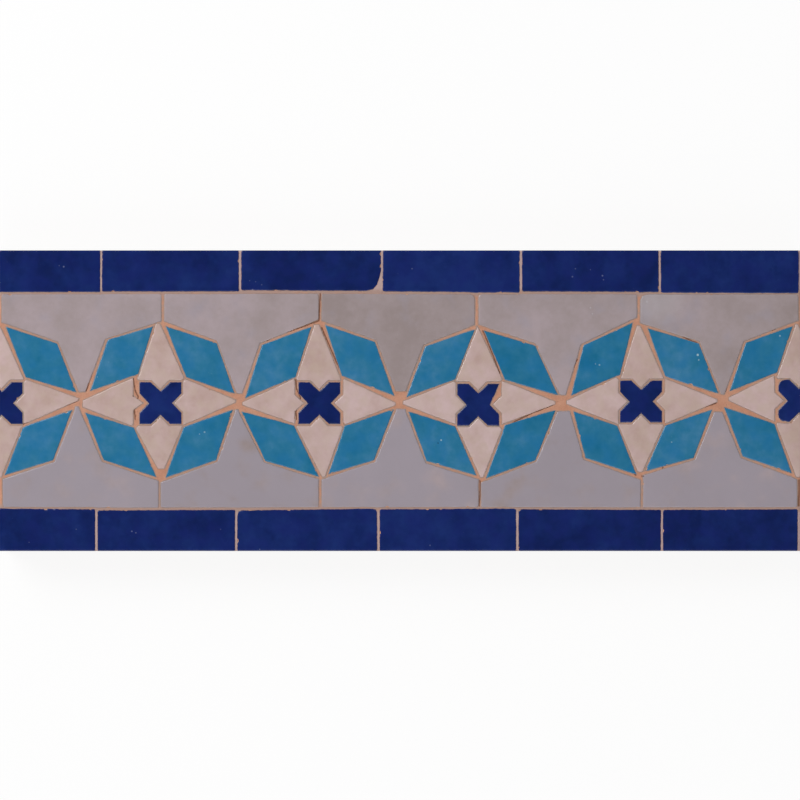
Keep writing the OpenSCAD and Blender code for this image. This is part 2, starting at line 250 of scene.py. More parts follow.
def hollow(p, size, layer):
    """Smooth noise from 0 to 1."""
    return min(1.0, max(0.0, 0.5 + HOLLOW_GAIN * wave(p, size, layer)))


def ease(value, low, high):
    """Rises smoothly from 0 at low to 1 at high."""
    share = min(1.0, max(0.0, (value - low) / (high - low)))
    return share * share * (3 - 2 * share)


def between(a, b, gap):
    """Points from a up to but without b, evenly spaced and no further apart than gap."""
    count = max(1, math.ceil((b - a).length / gap))
    return [a.lerp(b, i / count) for i in range(count)]


def from_edge(p):
    """How far a place is from the panel's own edge."""
    return min(HALF_LENGTH - abs(p[0]), HALF_WIDTH - abs(p[1]))


def trios(ring):
    """Each item of a ring with the one before it and the one after it."""
    return zip(ring[-1:] + ring[:-1], ring, ring[1:] + ring[:1])


def inward(ring):
    """The directions that point into an anticlockwise outline at each of its points."""
    chords = [(after - before).normalized() for before, _, after in trios(ring)]
    return [Vector((-c.y, c.x)) for c in chords]


def corner_shares(ring):
    """How much further each point of an outline moves than its sides when the outline grows evenly."""
    shares = []
    for before, p, after in trios(ring):
        along = (p - before).normalized().dot((after - before).normalized())
        shares.append(1 / max(along, 1 / SHARPEST))
    return shares


def point_tree(points):
    """A tree that finds the nearest of some points."""
    tree = kdtree.KDTree(len(points))
    for number, p in enumerate(points):
        tree.insert((p[0], p[1], 0), number)
    tree.balance()
    return tree


def nearest(tree, p):
    """The number of the nearest point, and how far it is."""
    _, number, distance = tree.find((p[0], p[1], 0))
    return number, distance


def within(p, ring):
    """Whether a place lies inside an outline."""
    crossings = 0
    for a, b in zip(ring, ring[1:] + ring[:1]):
        if (a.y > p[1]) != (b.y > p[1]):
            crossings += p[0] < a.x + (b.x - a.x) * (p[1] - a.y) / (b.y - a.y)
    return crossings % 2 == 1


def face_loops(node):
    """The outlines of a node's top faces, anticlockwise, one for each tile in the node."""
    mesh = node.data
    top = max(v.co.z for v in mesh.vertices)
    edges = set()
    for face in mesh.polygons:
        corners = [mesh.vertices[i].co for i in face.vertices]
        if min(c.z for c in corners) < top - SAME * MM:
            continue
        ring = [(round(c.x / MM, DIGITS), round(c.y / MM, DIGITS)) for c in corners]
        edges.update(zip(ring, ring[1:] + ring[:1]))
    ahead = {a: b for a, b in edges if (b, a) not in edges}
    loops = []
    while ahead:
        start = min(ahead)
        loop = [start]
        following = ahead.pop(start)
        while following != start:
            loop.append(following)
            following = ahead.pop(following)
        loops.append([Vector(p) for p in loop])
    return loops


class Layout:
    """The outlines of all the tiles as the frame has them, which tell how wide each joint is."""

    def __init__(self, loops):
        points = []
        self.owners = []
        for number, loop in enumerate(loops):
            for a, b in zip(loop, loop[1:] + loop[:1]):
                steps = between(a, b, OUTLINE_STEP)
                points += steps
                self.owners += [number] * len(steps)
        self.tree = point_tree(points)

    def gap(self, p, number):
        """How far a place on a tile's edge is from the next tile."""
        return self.tree.find((p[0], p[1], 0), filter=lambda k: self.owners[k] != number)[2]


def shown_joint(gap, p):
    """How wide a joint of the frame shows between the finished tiles at a place."""
    border = BORDER_TRIM * ease(abs(p.y), BAR_EDGE - BORDER_FADE, BAR_EDGE)
    return max(JOINT_LEAST + JOINT_SHARE * gap, gap - MOST_TRIM) - border


def worked_outline(loop, kind, layer, gap):
    """A tile's edge as the chisel left it: close points, waves, and joints as wide as they show."""
    ring = []
    for a, b in zip(loop, loop[1:] + loop[:1]):
        ring += between(a, b, OUTLINE_STEP)
    worked = []
    for p, way, share in zip(ring, inward(ring), corner_shares(ring)):
        waves = kind.slow * hollow(p, WAVE_LONG, layer) + kind.short * hollow(p, WAVE_SHORT, layer)
        joint = gap(p)
        growth = kind.grows * (joint - shown_joint(joint, p)) / 2
        depth = waves - PROUD * (kind.slow + kind.short) - growth
        depth = max(depth, (JOINT_CLEAR - joint) / 2)
        worked.append(p + way * depth * share * ease(from_edge(p), SAME, EDGE_FADE))
    return untangled(worked)


def crosses(a, b, c, d):
    """Whether the line from a to b crosses the line from c to d."""
    sides = (b - a).cross(c - a) * (b - a).cross(d - a)
    return sides < 0 and (d - c).cross(a - c) * (d - c).cross(b - c) < 0


def untangled(ring):
    """The ring without the small loops that the chisel's waves leave at a sharp corner."""
    ring = list(ring)
    k = 0
    while k < len(ring):
        a, b, c, d = (ring[(k + step) % len(ring)] for step in range(4))
        if crosses(a, b, c, d) or (c - b).length < OUTLINE_STEP * CROWDED:
            ring[(k + 1) % len(ring)] = (b + c) / 2
            del ring[(k + 2) % len(ring)]
            k = max(0, k - 3)
        else:
            k += 1
    return ring


def triangles(points, rings):
    """Triangles between points, inside closed rings of their numbers.

    Gives the points, each triangle with the rings that it lies in, and the place in the new points
    of each old one.
    """
    flat = [Vector((p[0], p[1])) for p in points]
    made = delaunay_2d_cdt(flat, [], rings, 1, SAME_EXACT, True)
    faces = [(face, held) for face, held in zip(made[2], made[5]) if held]
    return made[0], faces, {old: new for new, olds in enumerate(made[3]) for old in olds}


class Tile:
    """One fired tile: its worked edge, and the chips and marks that its face carries."""

    def __init__(self, loop, kind, luck, gap):
        self.ring = worked_outline(loop, kind, luck.uniform(0, NOISE_LAYERS), gap)
        self.ways = inward(self.ring)
        # How far the glaze reaches over the edge: only where the next tile is close
        self.covers = []
        for p in self.ring:
            bare = min(ease(gap(p), *SNUG_RANGE), ease(from_edge(p), SAME, EDGE_FADE))
            self.covers.append(SNUG_COVER * (1 - bare))
        self.tree = point_tree(self.ring)
        self.middle = sum(self.ring, Vector((0, 0))) / len(self.ring)
        self.reach = max((p - self.middle).length for p in self.ring)
        heading = luck.uniform(0, math.tau)
        self.lean = Vector((math.cos(heading), math.sin(heading))) * luck.uniform(*LEANS)
        length = sum((b - a).length for a, b in zip(self.ring, self.ring[1:]))
        open_edge = [p for p in self.ring if from_edge(p) > CHIP_CLEAR]
        self.chips = []
        for _ in range(round(kind.chips * length / 100 + luck.random())):
            place = luck.choice(open_edge)
            radius = luck.uniform(*CHIP_RADIUS) * luck.uniform(*CHIP_SHRINK)
            self.chips.append((place, radius, luck.uniform(*CHIP_DEPTH)))
        marks = [(spot(px, py), size * PIXEL, power) for px, py, size, power in MARKS_AND_HIGHLIGHTS]
        self.marks = [mark for mark in marks if within(mark[0], self.ring)]

    def chip(self, p):
        """How deep a chip is at a place."""
        depths = [depth * (1 - ((p - place).length / radius) ** 2)
                  for place, radius, depth in self.chips if (p - place).length < radius]
        return max(depths, default=0.0)

    def mark(self, p):
        """How strong a speck, a pit or a painted highlight is at a place: above 0 for pale, below 0 for
        dark.
        """
        powers = [power * (1 - ((p - place).length / radius) ** 2)
                  for place, radius, power in self.marks if (p - place).length < radius]
        return max(powers, key=abs, default=0.0)

    def height(self, p, inset):
        """The height of the face at a place, which lies this far from the edge."""
        roll = ARRIS_DROP * (1 - min(1.0, inset / ARRIS_REACH)) ** 2
        sunk = FACE_SWAY * hollow(p, SWAY_SIZE, self.reach)
        lean = FACE_TILT * (0.5 + 0.5 * self.lean.dot(p - self.middle) / self.reach)
        pit = MARK_DEPTH * abs(self.mark(p))
        return FACE_Z - roll - sunk - lean - pit - self.chip(p)

    def inner_points(self):
        """Rows of points behind the edge, points spread over the face, and points at its marks."""
        points = []
        for row, inset in enumerate(EDGE_ROWS):
            every = 1 + row // ROWS_DENSE
            for p, way in list(zip(self.ring, self.ways))[::every]:
                q = p + way * inset
                if nearest(self.tree, q)[1] > inset * EDGE_HOLD:
                    points.append(q)
        low = [min(p[k] for p in self.ring) for k in (0, 1)]
        high = [max(p[k] for p in self.ring) for k in (0, 1)]
        for q in spread(low, high, FACE_STEP):
            clear = all((q - place).length > FACE_MARGIN for place, _, _ in self.marks)
            if clear and nearest(self.tree, q)[1] > FACE_MARGIN:
                points.append(q)
        for place, radius, _ in self.marks:
            points.append(place)
            for share in MARK_RINGS:
                for k in range(MARK_RING):
                    turn = math.tau * k / MARK_RING
                    q = place + Vector((math.cos(turn), math.sin(turn))) * share * radius
                    if nearest(self.tree, q)[1] > EDGE_ROWS[0] and within(q, self.ring):
                        points.append(q)
        return points


def spread(low, high, step):
    """Points that stray a little from a grid over a rectangle, whose rows are shifted by turns."""
    columns = math.ceil((high[0] - low[0]) / step)
    rows = math.ceil((high[1] - low[1]) / step)
    for i in range(columns):
        for j in range(rows):
            p = Vector((low[0] + (i + 0.5 * (j % 2) + 0.25) * step, low[1] + (j + 0.5) * step))
            stray = Vector((wave(p, SCATTER_SIZE * step, 3.1), wave(p, SCATTER_SIZE * step, 7.7)))
            yield p + stray * SCATTER * step


def write_piece(name, bm, material, slot, node):
    """Turns the work mesh into a piece that stands for a node of the frame."""
    bmesh.ops.scale(bm, vec=(MM, MM, MM), verts=bm.verts)
    bmesh.ops.triangulate(bm, faces=[f for f in bm.faces if len(f.verts) > 4])
    mesh = bpy.data.meshes.new(name)
    bm.to_mesh(mesh)
    bm.free()
    mesh.materials.append(material)
    mesh.shade_smooth()
    mesh.set_sharp_from_angle(angle=SHARP_ANGLE)
    piece = bpy.data.objects.new(name, mesh)
    bpy.context.scene.collection.objects.link(piece)
    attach(piece, "root")
    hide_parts(node)


def add_tile(bm, tile, tone, tinge):
    """Adds a tile to a work mesh: its face, its walls and its back."""
    cover = bm.verts.layers.float["cover"]
    shade = bm.verts.layers.float["tone"]
    tinged = bm.verts.layers.float["tinge"]
    marked = bm.verts.layers.float["mark"]

    def vertex(p, z, bare, mark=0.0):
        """A new vertex, with the values that colour the tile there."""
        v = bm.verts.new((p[0], p[1], z))
        v[cover] = bare
        v[shade] = tone
        v[tinged] = tinge
        v[marked] = mark
        return v

    count = len(tile.ring)
    places, faces, moved = triangles(tile.ring + tile.inner_points(), [list(range(count))])
    on_edge = {moved[k] for k in range(count)}
    verts = {}
    for k in sorted({k for face, _ in faces for k in face}):
        p = places[k]
        number, distance = nearest(tile.tree, p)
        inset = 0.0 if k in on_edge else distance
        bare = inset + tile.covers[number] - CHIP_BARE * tile.chip(p)
        verts[k] = vertex(p, tile.height(p, inset), bare, tile.mark(p))
    for face, _ in faces:
        bm.faces.new([verts[k] for k in face])

    outer = any(from_edge(p) < SAME for p in tile.ring)
    low_glaze = FACE_Z - ARRIS_DROP - CHIP_DEPTH[1] - FACE_SWAY - FACE_TILT - GLAZE_LINE
    levels = [low_glaze]
    if outer:
        levels += [low_glaze + share * (POCKET_Z - low_glaze) for share in WALL_RINGS]
    levels.append(POCKET_Z)
    above = [verts[moved[k]] for k in range(count)]
    for z in levels:
        ring = []
        for p, way in zip(tile.ring, tile.ways):
            depth = 0.0
            if from_edge(p) < SAME:
                depth = WALL_ROUGH * hollow((p[0] + p[1], z), WALL_SIZE, 5.5)
            ring.append(vertex(p + way * depth, z, -1.0))
        for k in range(count):
            after = (k + 1) % count
            bm.faces.new((above[k], ring[k], ring[after], above[after]))
        above = ring
    _, faces, moved = triangles(tile.ring, [list(range(count))])
    back = {moved[k]: above[k] for k in range(count)}
    for face, _ in faces:
        bm.faces.new([back[k] for k in reversed(face)])


def build_tiles(materials):
    """Builds every tile of the panel, and gives their worked edges for the mortar."""
    names = sorted(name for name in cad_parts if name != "mortar_bed")
    loops = {name: face_loops(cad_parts[name]) for name in names}
    layout = Layout([loop for name in names for loop in loops[name]])
    outlines = []
    for name in names:
        luck = random.Random(name)
        kind = kind_of(name)
        bm = bmesh.new()
        tinges = [share for word, share in ROW_TINGES.items() if name.startswith(word)]
        tinge = tinges[0] if tinges else USUAL_TINGE
        for layer in ("cover", "tone", "tinge", "mark"):
            bm.verts.layers.float.new(layer)
        for loop in loops[name]:
            number = len(outlines)
            tile = Tile(loop, kind, luck, lambda p: layout.gap(p, number))
            add_tile(bm, tile, luck.uniform(-1, 1), tinge)
            outlines.append(tile.ring)
        bm.normal_update()
        write_piece("finished_" + name, bm, materials[kind.slot], kind.slot, name)
    return outlines


def rim_points(outlines):
    """The panel's edge as an anticlockwise ring, through the tile points that lie on it."""
    turns = ((-1, -1), (1, -1), (1, 1), (-1, 1))
    corners = [Vector((x * HALF_LENGTH, y * HALF_WIDTH)) for x, y in turns]
    on_rim = [p for ring in outlines for p in ring if from_edge(p) < SAME]
    ring = []
    for a, b in zip(corners, corners[1:] + corners[:1]):
        along = (b - a).normalized()
        side = [p for p in on_rim if abs((p - a).cross(along)) < SAME] + [a, b]
        side.sort(key=lambda p: (p - a).dot(along))
        kept = [side[0]]
        for p in side[1:]:
            if (p - kept[-1]).length > RIM_LEAST:
                kept.append(p)
        for p, q in zip(kept, kept[1:]):
            ring += between(p, q, RIM_STEP)
    return ring


def crack_points():
    """Points along the middle of every crack."""
    points = []
    for line in CRACKS:
        places = [spot(px, py) for px, py in line]
        for a, b in zip(places, places[1:]):
            points += between(a, b, CRACK_HALF / 2)
    return points


class Sieve:
    """Keeps points that lie in a joint, clear of the tiles and of the points kept before."""

    def __init__(self, outlines):
        self.edge = [p for ring in outlines for p in ring]
        self.ways = [way for ring in outlines for way in inward(ring)]
        self.tree = point_tree(self.edge)
        self.cells = {}
        self.kept = []

    def in_joint(self, p):
        """Whether a place is outside the tile that is nearest to it."""
        number, _ = nearest(self.tree, p)
        return (p - self.edge[number]).dot(self.ways[number]) < 0

    def offer(self, p, clear):
        """Keeps a point if it is this far from the tiles and has room among the points kept."""
        cell = (math.floor(p[0] / JOINT_STEP), math.floor(p[1] / JOINT_STEP))
        around = [(cell[0] + i, cell[1] + j) for i in (-1, 0, 1) for j in (-1, 0, 1)]
        crowd = [q for c in around for q in self.cells.get(c, ())]
        if from_edge(p) < clear or nearest(self.tree, p)[1] < clear or not self.in_joint(p):
            return
        if all((p - q).length > JOINT_STEP * JOINT_CROWDED for q in crowd):
            self.cells.setdefault(cell, []).append(p)
            self.kept.append(p)


def joint_points(outlines, cracks):
    """The sieve, filled with the points between the tiles."""
    sieve = Sieve(outlines)
    for p in cracks:
        sieve.offer(p, EDGE_ROWS[0])
    for inset in JOINT_ROWS:
        for p, way in zip(sieve.edge, sieve.ways):
            stray = JOINT_SCATTER * inset * wave(p, JOINT_STEP, 9.4)
            sieve.offer(p - way * (inset + stray), inset * EDGE_HOLD - abs(stray))
    return sieve


def joint_height(p, near, crack):
    """The height of a joint's surface, this far from the nearest tile."""
    rough = JOINT_ROLL * wave(p, JOINT_ROLL_SIZE, 2.2) + JOINT_GRAIN * wave(p, JOINT_GRAIN_SIZE, 4.6)
    climb = CLING * math.exp(-near / CLING_REACH)
    mouth = MOUTH_HOLLOW * (1 - ease(from_edge(p), 0, MOUTH_REACH))
    ceiling = FACE_Z - ARRIS_DROP - CLING / 2
    return min(ceiling, JOINT_Z + JOINT_LIFT + rough + climb) - CRACK_DEPTH * crack - mouth


class Bed:
    """The mortar's work mesh."""

    def __init__(self, outlines):
        self.bm = bmesh.new()
        self.crack = self.bm.verts.layers.float.new("crack")
        self.pale = self.bm.verts.layers.float.new("pale")
        self.dull = self.bm.verts.layers.float.new("dull")
        self.deep = self.bm.verts.layers.float.new("deep")
        self.near = self.bm.verts.layers.float.new("near")
        cracks = crack_points()
        self.crack_tree = point_tree(cracks)
        self.sieve = joint_points(outlines, cracks)
        self.rim = rim_points(outlines)
        points = list(self.rim)
        rings = [list(range(len(self.rim)))]
        for ring in outlines:
            rings.append(list(range(len(points), len(points) + len(ring))))
            points += ring
        points += self.sieve.kept
        self.places, faces, self.moved = triangles(points, rings)
        self.faces = [(face, max(held) > 0) for face, held in faces]

    def vertex(self, p, z, crack=0.0):
        """A new vertex, with the values that colour the mortar there."""
        v = self.bm.verts.new((p[0], p[1], z))
        v[self.crack] = crack
        v[self.pale] = ease(abs(p[1]), BAR_EDGE, BAR_EDGE + BORDER_FADE)
        v[self.dull] = ease(abs(p[1]), BAR_EDGE - DULL_BAND[0], BAR_EDGE - DULL_BAND[1])
        v[self.deep] = ease(z, JOINT_Z - DEEP_BAND[0], POCKET_Z - DEEP_BAND[1])
        return v

    def joint_vertex(self, p):
        """A new vertex on the surface of a joint."""
        near = nearest(self.sieve.tree, p)[1]
        gap = nearest(self.crack_tree, p)[1]
        crack = max(0.0, 1 - (gap / CRACK_HALF) ** 2)
        v = self.vertex(p, joint_height(p, near, crack), crack)
        v[self.near] = near
        return v

    def side_place(self, p, z, depth):
        """A point of the panel's side, pushed in by some of the depth."""
        to_corner = HALF_LENGTH - abs(p[0]) + HALF_WIDTH - abs(p[1])
        depth = depth * ease(to_corner, 0, CORNER_REACH) if to_corner > SAME else CORNER_WEAR
        amount = depth * hollow((p[0] + p[1], z + p[0] - p[1]), SIDE_SIZE, 1.7)
        x = math.copysign(min(abs(p[0]), HALF_LENGTH - amount), p[0])
        y = math.copysign(min(abs(p[1]), HALF_WIDTH - amount), p[1])
        return Vector((x, y))


def fill_bed(bed):
    """Makes the joints, the pockets, the sides and the back, as one closed skin."""
    bm = bed.bm
    floor, top = {}, {}
    for face, in_tile in bed.faces:
        level = floor if in_tile else top
        for k in face:
            if k not in level:
                p = bed.places[k]
                level[k] = bed.vertex(p, POCKET_Z) if in_tile else bed.joint_vertex(p)
        bm.faces.new([level[k] for k in face])

    owner = {}
    for face, in_tile in bed.faces:
        for a, b in zip(face, face[1:] + face[:1]):
            owner[a, b] = in_tile

    rim = [bed.moved[k] for k in range(len(bed.rim))]
    below, mouth = {}, {}
    for k in rim:
        p = bed.places[k]
        heights = [0.0] + [share * POCKET_Z for share in SIDE_LEVELS]
        depths = [FOOT_CRUMBLE, SIDE_ROUGH, SIDE_ROUGH]
        below[k] = [bed.vertex(bed.side_place(p, z, depth), z) for z, depth in zip(heights, depths)]
        below[k].append(floor[k] if k in floor else bed.vertex(p, POCKET_Z))
        if k in top:
            rise = top[k].co.z - POCKET_Z
            depth = 0.0 if k in floor else MOUTH_HOLLOW
            mouth[k] = [bed.vertex(bed.side_place(p, POCKET_Z + share * rise, depth),
                                   POCKET_Z + share * rise) for share in MOUTH_LEVELS]

    for (a, b), in_tile in owner.items():
        if not in_tile and owner.get((b, a)):
            down = [top[b], top[a]] + mouth.get(a, [])[::-1]
            bm.faces.new(down + [floor[a], floor[b]] + mouth.get(b, []))
        elif (b, a) not in owner:
            left, right = below[a], below[b]
            if not in_tile:
                left = left + mouth[a] + [top[a]]
                right = right + mouth[b] + [top[b]]
            for k in range(len(left) - 1):
                bm.faces.new((left[k], right[k], right[k + 1], left[k + 1]))
    add_back(bed, [below[k][0] for k in rim])


def add_back(bed, foot):
    """The back: flat enough to rest on, rough from the trowel, and joined to the sides' lower edge."""
    ring = [v.co.xy for v in foot]
    points = list(ring)
    for p in spread((-HALF_LENGTH, -HALF_WIDTH), (HALF_LENGTH, HALF_WIDTH), BACK_STEP):
        if from_edge(p) > BACK_STEP / 2:
            points.append(p)
    places, faces, moved = triangles(points, [list(range(len(ring)))])
    verts = {moved[k]: v for k, v in enumerate(foot)}
    for k in sorted({k for face, _ in faces for k in face} - set(verts)):
        p = places[k]
        drag = (p[0] * TROWEL_SLANT + p[1], p[1] * TROWEL_SLANT - p[0])
        rough = hollow(p, BACK_SIZE, 8.1) + TROWEL_SHARE * hollow(drag, TROWEL_SIZE, 6.3) - BACK_FLAT
        verts[k] = bed.vertex(p, BACK_ROUGH * max(0.0, rough))
    for face, _ in faces:
        bed.bm.faces.new([verts[k] for k in reversed(face)])


def build_mortar(outlines, material):
    """Builds the mortar bed around the tiles."""
    bed = Bed(outlines)
    fill_bed(bed)
    write_piece("finished_mortar", bed.bm, material, "mortar", "mortar_bed")


def colour(red, green, blue):
    """A colour as it looks on a screen, from 0 to 255, in the linear values that Blender takes."""
    parts = [part / 255 for part in (red, green, blue)]
    return [c / 12.92 if c <= 0.04045 else ((c + 0.055) / 1.055) ** 2.4 for c in parts] + [1.0]


def new_tree(name):
    """A new material, with its node tree and its shader."""
    material = bpy.data.materials.new(name)
    material.use_nodes = True
    tree = material.node_tree
    return material, tree, tree.nodes["Principled BSDF"]


def add(tree, kind, plugs=(), **settings):
    """Adds a node, sets it, and links or sets its inputs."""
    node = tree.nodes.new(kind)
    for name, value in settings.items():
        setattr(node, name, value)
    for socket, value in dict(plugs).items():
        if isinstance(value, bpy.types.NodeSocket):
            tree.links.new(value, node.inputs[socket])
        else:
            node.inputs[socket].default_value = value
    return node


def maths(tree, operation, *values, clamp=False):
    """What an operation, such as ADD, makes of sockets and numbers."""
    plugs = dict(enumerate(values))
    return add(tree, "ShaderNodeMath", plugs, operation=operation, use_clamp=clamp).outputs[0]


def attribute(tree, name):
    """A value that the mesh carries at each vertex."""
    return add(tree, "ShaderNodeAttribute", attribute_name=name).outputs["Fac"]


def grain(tree, size, layer, detail=2.0, rough=0.5):
    """Noise from 0 to 1 in the object's space, with patches of the given size.

    Each layer is a pattern of its own.
    """
    place = add(tree, "ShaderNodeTexCoord").outputs["Object"]
    plugs = {"Vector": place, "W": layer, "Scale": 1 / (size * MM)}
    plugs.update({"Detail": detail, "Roughness": rough})
    return add(tree, "ShaderNodeTexNoise", plugs, noise_dimensions="4D").outputs["Fac"]


def swing(tree, value, amount):
    """Noise around 0, of the given strength."""
    return maths(tree, "MULTIPLY", maths(tree, "SUBTRACT", value, 0.5), amount)


def sway(tree, size, power, layer, detail=2.0, rough=0.5):
    """Noise around 0, with patches of the given size, of the given strength."""
    return swing(tree, grain(tree, size, layer, detail, rough), power)


def step_up(tree, value, low, high):
    """Rises smoothly from 0 at low to 1 at high."""
    plugs = {"Value": value, "From Min": low, "From Max": high}
    return add(tree, "ShaderNodeMapRange", plugs, interpolation_type="SMOOTHSTEP").outputs["Result"]


def mixed(tree, factor, a, b):
    """A colour between two others."""
    plugs = {0: factor, 6: a, 7: b}
    return add(tree, "ShaderNodeMix", plugs, data_type="RGBA").outputs[2]


def mixed_number(tree, factor, a, b):
    """A number between two others."""
    plugs = {0: factor, 2: a, 3: b}
    return add(tree, "ShaderNodeMix", plugs, data_type="FLOAT").outputs[0]


def ramp(tree, factor, *stops):
    """A colour along a row of stops, each a position and a colour."""
    node = add(tree, "ShaderNodeValToRGB", {"Fac": factor})
    elements = node.color_ramp.elements
    while len(elements) < len(stops):
        elements.new(0.5)
    for element, (position, value) in zip(elements, stops):
        element.position = position
        element.color = value
    return node.outputs["Color"]


def bump(tree, height, distance, under=None):
    """A bump of this height in millimetres, over another bump or over the plain surface."""
    plugs = {"Height": height, "Distance": distance * MM, "Strength": 1.0}
    if under is not None:
        plugs["Normal"] = under
    return add(tree, "ShaderNodeBump", plugs).outputs["Normal"]


# Glaze and clay. A pair named step is the noise, or the value, between which something fades in
CLAY_DARK = colour(176, 120, 92)
CLAY_PALE = colour(222, 180, 152)
CLAY_GRAIN = 0.8                # size of the clay's grains
CLAY_STEP = (0.3, 0.7)
CLAY_ROUGHNESS = 0.92
BARE_STEP = (0.02, 0.1)         # glaze covers the clay from here on
RAGGED_EDGE = (0.55, 0.3)       # size and strength of the raggedness of the glaze's edge
GLAZE_DEPTH = 0.08              # how far that edge stands above the clay
GLOSS = (0.1, 0.28)             # the glaze's roughness, least and most
GLOSS_SIZE = 2.4
TINT_SIZE = 0.6                 # size of the patches of tint, as a share of the clouds'
TINT_STEP = (0.35, 0.7)
TINGE_POWER = 0.4               # how strongly a tile's row tinge spreads them
DUST_SIZE = 0.5                 # fine dust that was fired into the glaze
DUST_STEP = (0.74, 0.84)
DUST_POWER = 0.3
SPECK_AND_HIGHLIGHT_POWER = 0.65
PIT_STEP = (0.1, 0.7)
RIPPLE_SIZE, RIPPLE_HEIGHT = 5.5, 0.12
DIMPLE_SIZE, DIMPLE_HEIGHT = 1.1, 0.012
PORE_SIZE, PORE_DEPTH = 0.42, 0.012
PORE_STEP = (0.7, 0.82)


def glaze(name, deep, middle, pale, tint, speck_and_highlight, pit, cloud=6.0, mottle=1.6, cloud_power=2.0,
          mottle_power=0.6, tint_power=0.45, tone_power=0.25):
    """A fired tile: cloudy glaze over clay, with specks, fine pits, painted highlights and a ragged
    edge of bare clay.

    The cloud and mottle are the sizes of the glaze's patches, and each power is how strongly it shows.
    """
    material, tree, shader = new_tree(name)
    clouds = sway(tree, cloud, cloud_power, 1.3, 3.0, 0.55)
    mottles = sway(tree, mottle, mottle_power, 4.7)
    tone = maths(tree, "MULTIPLY", attribute(tree, "tone"), tone_power)
    tone = maths(tree, "ADD", tone, 0.5)
    total = maths(tree, "ADD", maths(tree, "ADD", clouds, mottles), tone, clamp=True)
    glazed = ramp(tree, total, (0.0, deep), (0.5, middle), (1.0, pale))
    tinge = swing(tree, attribute(tree, "tinge"), TINGE_POWER)
    patches = maths(tree, "ADD", grain(tree, cloud * TINT_SIZE, 6.4), tinge)
    patches = step_up(tree, patches, *TINT_STEP)
    glazed = mixed(tree, maths(tree, "MULTIPLY", patches, tint_power), glazed, tint)

    dust = step_up(tree, grain(tree, DUST_SIZE, 8.8, 1.0), *DUST_STEP)
    dust = maths(tree, "MULTIPLY", dust, DUST_POWER)
    # the listed marks, the painted highlights among them, turn the glaze towards the speck colour
    marks = attribute(tree, "mark")
    specks_and_highlights = maths(tree, "MAXIMUM", dust, marks)
    specks_and_highlights = maths(tree, "MULTIPLY", specks_and_highlights, SPECK_AND_HIGHLIGHT_POWER, clamp=True)
    glazed = mixed(tree, specks_and_highlights, glazed, speck_and_highlight)
    pits = step_up(tree, maths(tree, "MULTIPLY", marks, -1.0), *PIT_STEP)
    glazed = mixed(tree, pits, glazed, pit)

    ragged = sway(tree, *RAGGED_EDGE, 2.9, 3.0, 0.65)
    covered = step_up(tree, maths(tree, "ADD", attribute(tree, "cover"), ragged), *BARE_STEP)
    grains = grain(tree, CLAY_GRAIN, 6.1, 4.0, 0.7)
    clay = ramp(tree, grains, (CLAY_STEP[0], CLAY_DARK), (CLAY_STEP[1], CLAY_PALE))
    tree.links.new(mixed(tree, covered, clay, glazed), shader.inputs["Base Color"])

    sheen = mixed_number(tree, grain(tree, GLOSS_SIZE, 3.3, 3.0), *GLOSS)
    tree.links.new(mixed_number(tree, covered, CLAY_ROUGHNESS, sheen), shader.inputs["Roughness"])

    pores = step_up(tree, grain(tree, PORE_SIZE, 5.2, 1.0), *PORE_STEP)
    under = bump(tree, grain(tree, RIPPLE_SIZE, 7.4), RIPPLE_HEIGHT)
    under = bump(tree, grain(tree, DIMPLE_SIZE, 9.1), DIMPLE_HEIGHT, under)
    under = bump(tree, maths(tree, "SUBTRACT", 1.0, pores), PORE_DEPTH, under)
    under = bump(tree, covered, GLAZE_DEPTH, under)
    tree.links.new(under, shader.inputs["Normal"])
    return material


# Mortar
JOINT_DARK = colour(168, 114, 90)
JOINT_MIDDLE = colour(193, 140, 115)
JOINT_LIGHT = colour(212, 166, 142)
# painted shade: the greyer, darker mortar right beside the tiles, where the joint's recess is shaded
JOINT_EDGE_SHADE = colour(158, 140, 131)
ROW_JOINT = colour(170, 141, 131)
BAR_JOINT = colour(184, 158, 154)
CRACK_BROWN = colour(132, 92, 72)
BED_DARK = colour(150, 132, 114)
BED_LIGHT = colour(190, 174, 152)
CLOUDS = (4.5, 0.7)             # size and strength of the mortar's clouds
SAND = (0.45, 0.8)              # and of its sand
EDGE_SHADE_STEP = (0.0, 0.45)         # distances to a tile, from the painted shade at its edge to unshaded mortar
EDGE_SHADE_SWAY = (1.2, 0.6)          # size and strength of the raggedness of that painted shade's edge
WORN_SIZE = 7.0                 # the duller patches by the bars
WORN_STEP = (0.2, 0.55)
CRACK_STEP = (0.1, 0.8)
BED_STOPS = (0.1, 0.9)          # the greyer mortar's darkest and lightest place in the noise
DEEP_STEP = (0.3, 0.7)
DEEP_SWAY = (2.5, 0.5)
DRYNESS = (0.82, 0.96)          # the mortar's roughness, least and most
DRY_SIZE = 1.5
MORTAR_SHINE = 0.25
LUMP_SIZE, LUMP_HEIGHT = 1.2, 0.12
GRAIN_SIZE, GRAIN_HEIGHT = 0.3, 0.05
HOLE_SIZE, HOLE_DEPTH = 1.3, 0.1
HOLE_STEP = (0.28, 0.36)


